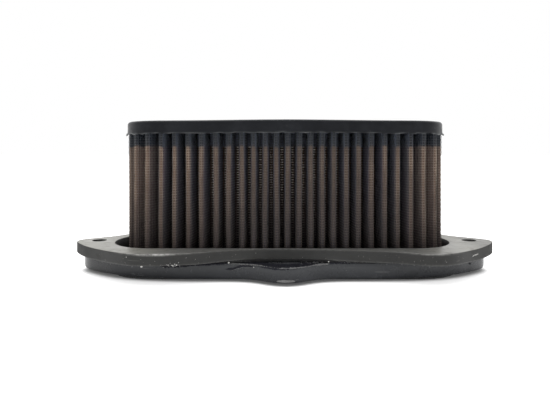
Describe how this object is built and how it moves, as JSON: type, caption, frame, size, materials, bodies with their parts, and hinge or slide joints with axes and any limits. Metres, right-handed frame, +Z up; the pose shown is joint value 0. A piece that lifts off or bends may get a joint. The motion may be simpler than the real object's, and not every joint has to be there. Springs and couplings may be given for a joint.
{
  "type": "pleated air filter",
  "caption": "Tall oval pleated cotton-gauze air filter with wire screens, a moulded cap, a wavy bolt-on flange plate and a moulded rubber base.",
  "frame": {"origin": "middle of the filter's plan, on the surface that its gasket stands on", "axes": "+Z up through the cap, +X along the filter to its right end, -Y towards the side with the boss"},
  "size_m": [0.2392, 0.0766, 0.0855],
  "materials": {
    "cap_urethane": "black moulded urethane, satin, scratched and dusty",
    "outer_screen_wire": "fine woven wire screen, dull and dirty",
    "dirty_gauze": "oiled cotton gauze, brown-orange with road dirt",
    "inner_gauze": "oiled cotton gauze, cleaner and redder",
    "inner_screen_wire": "fine woven wire screen, clean side",
    "clip_metal": "thin folded strip, dull",
    "potting_resin": "black cast urethane, matt",
    "flange_metal": "dark satin coating, worn to lighter metal on the edges",
    "adhesive": "ragged glossy squeeze-out with light specks",
    "base_rubber": "black moulded urethane, glossy with soft scuffs",
    "sleeve_steel": "turned, plated",
    "insert_steel": "turned, plated, dull",
    "gasket_foam": "closed-cell foam, matt"
  },
  "bodies": {
    "root": {"top_cap": "cap_urethane", "outer_wire_screen": "outer_screen_wire", "gauze_ply_1": "dirty_gauze", "gauze_ply_2": "inner_gauze", "gauze_ply_3": "inner_gauze", "gauze_ply_4": "inner_gauze", "inner_wire_screen": "inner_screen_wire", "pleat_seam_clip": "clip_metal", "lower_potting": "potting_resin", "flange_plate": "flange_metal", "adhesive_layer": "adhesive", "base_body": "base_rubber", "left_sleeve": "sleeve_steel", "right_sleeve": "sleeve_steel", "boss_insert": "insert_steel", "sealing_gasket": "gasket_foam"}
  },
  "joints": []
}
